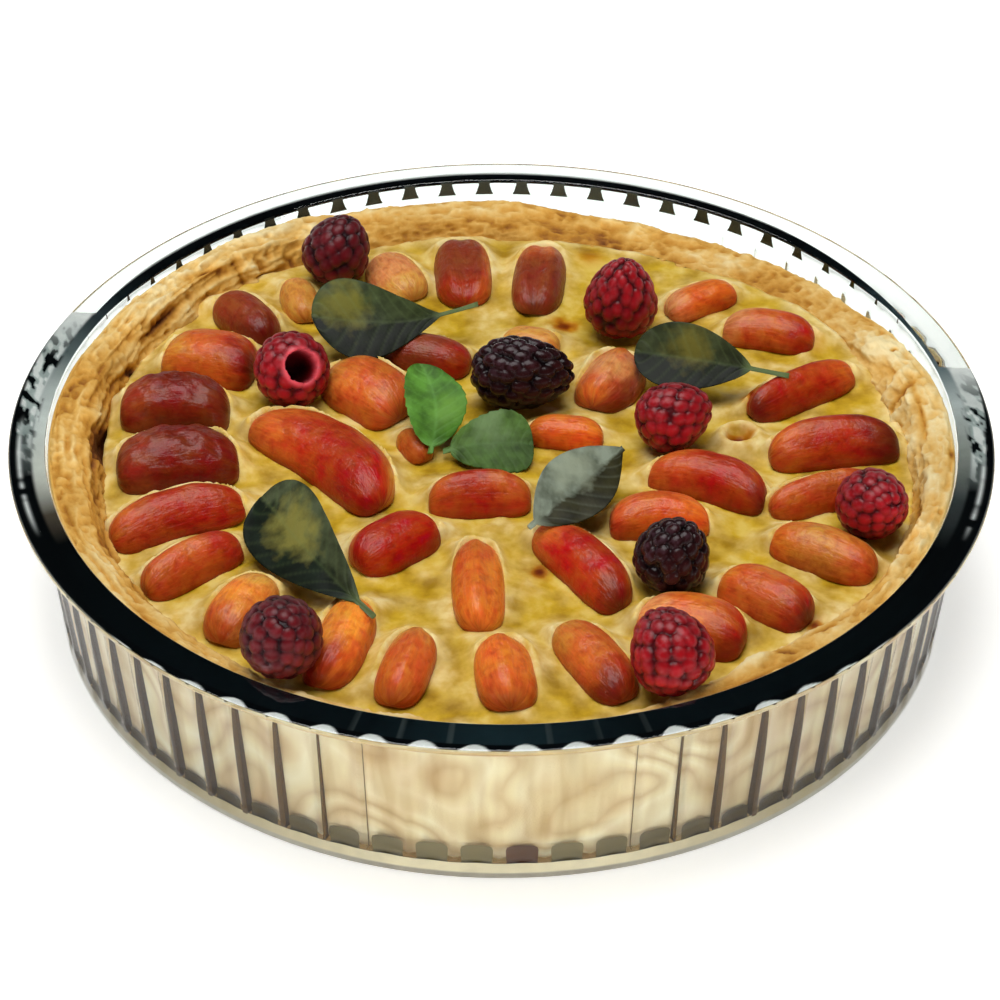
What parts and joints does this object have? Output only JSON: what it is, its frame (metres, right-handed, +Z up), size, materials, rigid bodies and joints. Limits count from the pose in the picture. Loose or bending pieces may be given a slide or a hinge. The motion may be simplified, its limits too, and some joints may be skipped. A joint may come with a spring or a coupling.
{
  "type": "fruit tart in a glass dish",
  "caption": "Round custard tart in its own clear fluted glass dish, topped with apricot wedges, dark and red berries, bay leaves and mint.",
  "frame": {"origin": "middle of the dish's underside, on the table", "axes": "+Z up; the side of the tart nearest the viewer is -Y and its right side is +X"},
  "size_m": [0.28, 0.28, 0.0694],
  "materials": {
    "clear_glass": "clear, polished",
    "pastry": "baked, matt and flaky",
    "custard": "baked skin, softly glossy",
    "apricot": "cooked fruit, moist",
    "raspberry": "fresh fruit, softly glossy",
    "deep_raspberry": "fresh fruit, softly glossy",
    "dark_berry": "fresh fruit, glossy",
    "bay_leaf": "waxy leaf",
    "mint_leaf": "soft leaf"
  },
  "bodies": {
    "root": {"glass_dish": "clear_glass", "pastry_crust": "pastry", "custard_filling": "custard", "apricot_00": "apricot", "apricot_01": "apricot", "apricot_02": "apricot", "apricot_03": "apricot", "apricot_04": "apricot", "apricot_05": "apricot", "apricot_06": "apricot", "apricot_07": "apricot", "apricot_08": "apricot", "apricot_09": "apricot", "apricot_10": "apricot", "apricot_11": "apricot", "apricot_12": "apricot", "apricot_13": "apricot", "apricot_14": "apricot", "apricot_15": "apricot", "apricot_16": "apricot", "apricot_17": "apricot", "apricot_18": "apricot", "apricot_19": "apricot", "apricot_20": "apricot", "apricot_21": "apricot", "apricot_22": "apricot", "apricot_23": "apricot", "apricot_24": "apricot", "apricot_25": "apricot", "apricot_26": "apricot", "apricot_27": "apricot", "apricot_28": "apricot", "apricot_29": "apricot", "apricot_30": "apricot", "apricot_31": "apricot", "apricot_32": "apricot", "apricot_33": "apricot", "apricot_34": "apricot", "apricot_35": "apricot", "raspberry_hollow": "raspberry", "raspberry_upright": "raspberry", "raspberry_centre_right": "raspberry", "raspberry_right": "raspberry", "raspberry_front_right": "raspberry", "raspberry_back_left": "deep_raspberry", "raspberry_front_left": "deep_raspberry", "dark_berry_middle": "dark_berry", "dark_berry_right": "dark_berry", "bay_leaf_back": "bay_leaf", "bay_leaf_right": "bay_leaf", "bay_leaf_left": "bay_leaf", "bay_leaf_centre": "bay_leaf", "mint_leaf_large": "mint_leaf", "mint_leaf_small": "mint_leaf"}
  },
  "joints": []
}
